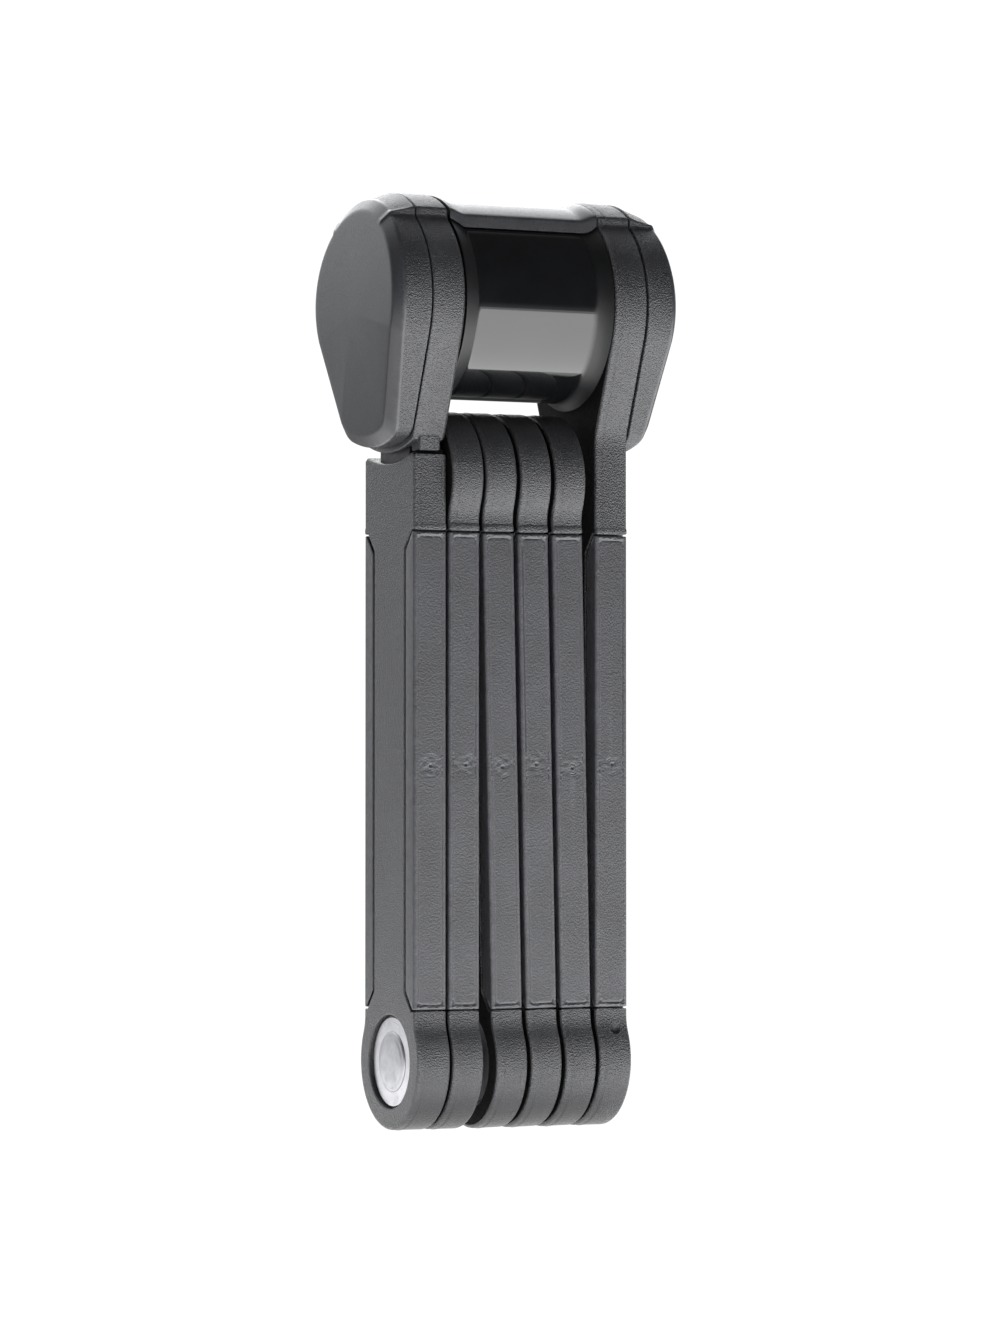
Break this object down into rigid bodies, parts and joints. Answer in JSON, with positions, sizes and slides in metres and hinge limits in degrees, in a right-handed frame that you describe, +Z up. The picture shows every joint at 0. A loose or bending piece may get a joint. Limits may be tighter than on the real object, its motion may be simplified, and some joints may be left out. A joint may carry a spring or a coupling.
{
  "type": "folding bike lock",
  "caption": "Folding bike lock: plastic covered steel links riveted into a zigzag, with a cylindrical lock body across the top that takes the tongue of the last link.",
  "frame": {"origin": "bottom centre of the folded lock's box, on the surface that it stands on", "axes": "+Z up along the folded links towards the lock body, X along the lock barrel with the key side at +X, Y from the front (-) to the back (+)"},
  "size_m": [0.0756, 0.049, 0.2233],
  "materials": {
    "textured_plastic": "fine sparkling grain",
    "satin_plastic": "smooth satin",
    "pad_plastic": "soft satin",
    "gloss_plastic": "high gloss",
    "carrier_plastic": "plain moulded",
    "hardened_steel": "ground",
    "zinc_steel": "bright zinc plated",
    "brass": "turned",
    "nickel_silver": "turned"
  },
  "bodies": {
    "lock_body": {"left_end_cap": "satin_plastic", "left_collar": "textured_plastic", "lock_core": "hardened_steel", "gloss_sleeve": "gloss_plastic", "sleeve_carrier": "carrier_plastic", "top_strip": "satin_plastic", "right_end_cap": "satin_plastic", "lock_cylinder": "brass", "retaining_ring": "hardened_steel"},
    "link_1": {"link_1_core_plate": "hardened_steel", "link_1_cover": "textured_plastic", "link_1_rear_pad": "pad_plastic", "link_1_front_pad": "pad_plastic", "rivet_1_2": "zinc_steel", "rivet_1_2_left_washer": "zinc_steel", "rivet_1_2_right_washer": "zinc_steel", "rivet_1_2_spacer": "carrier_plastic"},
    "link_2": {"link_2_core_plate": "hardened_steel", "link_2_cover": "textured_plastic", "link_2_rear_pad": "pad_plastic", "link_2_front_pad": "pad_plastic", "rivet_2_3": "zinc_steel", "rivet_2_3_left_washer": "zinc_steel", "rivet_2_3_right_washer": "zinc_steel", "rivet_2_3_spacer": "carrier_plastic"},
    "link_3": {"link_3_core_plate": "hardened_steel", "link_3_cover": "textured_plastic", "link_3_rear_pad": "pad_plastic", "link_3_front_pad": "pad_plastic", "rivet_3_4": "zinc_steel", "rivet_3_4_left_washer": "zinc_steel", "rivet_3_4_right_washer": "zinc_steel", "rivet_3_4_spacer": "carrier_plastic"},
    "link_4": {"link_4_core_plate": "hardened_steel", "link_4_cover": "textured_plastic", "link_4_rear_pad": "pad_plastic", "link_4_front_pad": "pad_plastic", "rivet_4_5": "zinc_steel", "rivet_4_5_left_washer": "zinc_steel", "rivet_4_5_right_washer": "zinc_steel", "rivet_4_5_spacer": "carrier_plastic"},
    "link_5": {"link_5_core_plate": "hardened_steel", "link_5_cover": "textured_plastic", "link_5_rear_pad": "pad_plastic", "link_5_front_pad": "pad_plastic", "rivet_5_6": "zinc_steel", "rivet_5_6_left_washer": "zinc_steel", "rivet_5_6_right_washer": "zinc_steel", "rivet_5_6_spacer": "carrier_plastic"},
    "link_6": {"link_6_core_plate": "hardened_steel", "link_6_cover": "textured_plastic", "link_6_rear_pad": "pad_plastic", "link_6_front_pad": "pad_plastic"},
    "key_plug": {"key_plug": "nickel_silver", "plug_tail": "hardened_steel"},
    "locking_bolt": {"locking_bolt": "hardened_steel"},
    "keyhole_cover": {"keyhole_cover": "satin_plastic"}
  },
  "joints": [
    {"name": "lock_hinge", "type": "hinge", "parent": "lock_body", "child": "link_1", "pos_m": [0.0243, 0, 0.197], "axis": [1, 0, 0], "range_deg": [0, 120]},
    {"name": "rivet_1_2_hinge", "type": "hinge", "parent": "link_1", "child": "link_2", "pos_m": [0.0197, 0, 0.01628], "axis": [1, 0, 0], "range_deg": [-180, 0]},
    {"name": "rivet_2_3_hinge", "type": "hinge", "parent": "link_2", "child": "link_3", "pos_m": [0.0076, 0, 0.15528], "axis": [1, 0, 0], "range_deg": [0, 180]},
    {"name": "rivet_3_4_hinge", "type": "hinge", "parent": "link_3", "child": "link_4", "pos_m": [0.0012, 0, 0.01628], "axis": [1, 0, 0], "range_deg": [-180, 0]},
    {"name": "rivet_4_5_hinge", "type": "hinge", "parent": "link_4", "child": "link_5", "pos_m": [-0.0106, 0, 0.15528], "axis": [1, 0, 0], "range_deg": [0, 180]},
    {"name": "rivet_5_6_hinge", "type": "hinge", "parent": "link_5", "child": "link_6", "pos_m": [-0.0195, 0, 0.01628], "axis": [1, 0, 0], "range_deg": [-180, 0]},
    {"name": "key_plug_turn", "type": "hinge", "parent": "lock_body", "child": "key_plug", "pos_m": [0.024, 0, 0.197], "axis": [1, 0, 0], "range_deg": [0, 90]},
    {"name": "locking_bolt_slide", "type": "slide", "parent": "lock_body", "child": "locking_bolt", "axis": [-1, 0, 0], "range_m": [0, 0.011]},
    {"name": "keyhole_cover_slide", "type": "slide", "parent": "lock_body", "child": "keyhole_cover", "axis": [0, 0, -1], "range_m": [0, 0.0185]}
  ],
  "couplings": [
    {"joint": "rivet_2_3_hinge", "follows": "rivet_1_2_hinge", "ratio": -1},
    {"joint": "rivet_4_5_hinge", "follows": "rivet_3_4_hinge", "ratio": -1},
    {"joint": "key_plug_turn", "follows": "locking_bolt_slide", "rad_per_m": 142.79}
  ]
}
